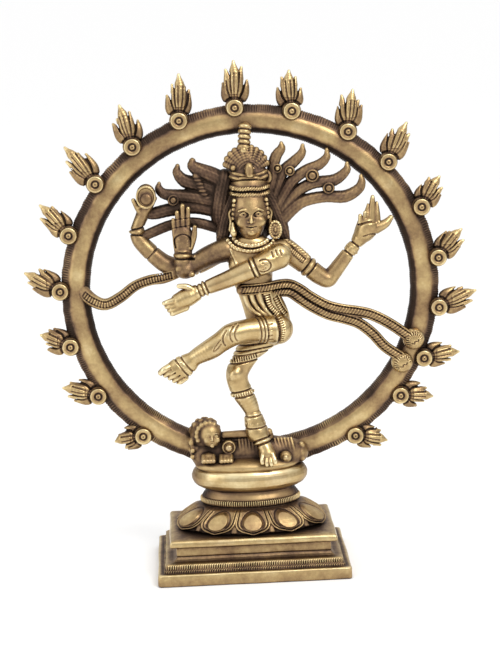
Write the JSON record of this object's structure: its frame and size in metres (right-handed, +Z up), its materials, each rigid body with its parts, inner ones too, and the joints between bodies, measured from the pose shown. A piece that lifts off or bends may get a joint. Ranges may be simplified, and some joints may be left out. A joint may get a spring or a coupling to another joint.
{
  "type": "dancing figure statue",
  "caption": "Small cast-brass dancing figure with raised arms inside a hoop of flame leaves, on a lotus and a stepped plinth.",
  "frame": {"origin": "on the surface it stands on, in the middle of the plinth's depth and of the overall width, flames included", "axes": "+Z up, +X to the viewer's right, -Y towards the viewer"},
  "size_m": [0.1542, 0.046, 0.1744],
  "materials": {
    "cast_brass": "antiqued cast brass, worn bright on the high spots",
    "dark_brass": "dark brown patina with rubbed edges",
    "polished_brass": "hand-polished brass with brown patina in the lines",
    "steel_fixing": "plain steel"
  },
  "bodies": {
    "root": {"blessing_arm": "cast_brass", "crest_finial": "cast_brass", "crossing_arm": "polished_brass", "drum_arm": "cast_brass", "dwarf": "dark_brass", "earring_drop": "cast_brass", "earring_ring": "cast_brass", "fan_headdress": "dark_brass", "fixing_screw": "steel_fixing", "fixing_washer": "steel_fixing", "flame_01": "cast_brass", "flame_02": "cast_brass", "flame_03": "cast_brass", "flame_04": "cast_brass", "flame_05": "cast_brass", "flame_06": "cast_brass", "flame_07": "cast_brass", "flame_08": "cast_brass", "flame_09": "cast_brass", "flame_10": "cast_brass", "flame_11": "cast_brass", "flame_12": "cast_brass", "flame_13": "cast_brass", "flame_14": "cast_brass", "flame_15": "cast_brass", "flame_16": "cast_brass", "flame_17": "cast_brass", "flame_18": "cast_brass", "flame_arm": "cast_brass", "hair_locks_left": "dark_brass", "hair_locks_right": "dark_brass", "hair_veil": "dark_brass", "hand_drum": "cast_brass", "hand_flame": "cast_brass", "head": "cast_brass", "lotus_tier": "cast_brass", "milled_collar": "cast_brass", "plinth": "cast_brass", "raised_leg": "polished_brass", "ring_hoop": "cast_brass", "sash": "cast_brass", "sash_rosette_lower": "cast_brass", "sash_rosette_upper": "cast_brass", "scarf": "cast_brass", "seat_cushion": "polished_brass", "standing_leg": "polished_brass", "torso": "polished_brass"}
  },
  "joints": []
}
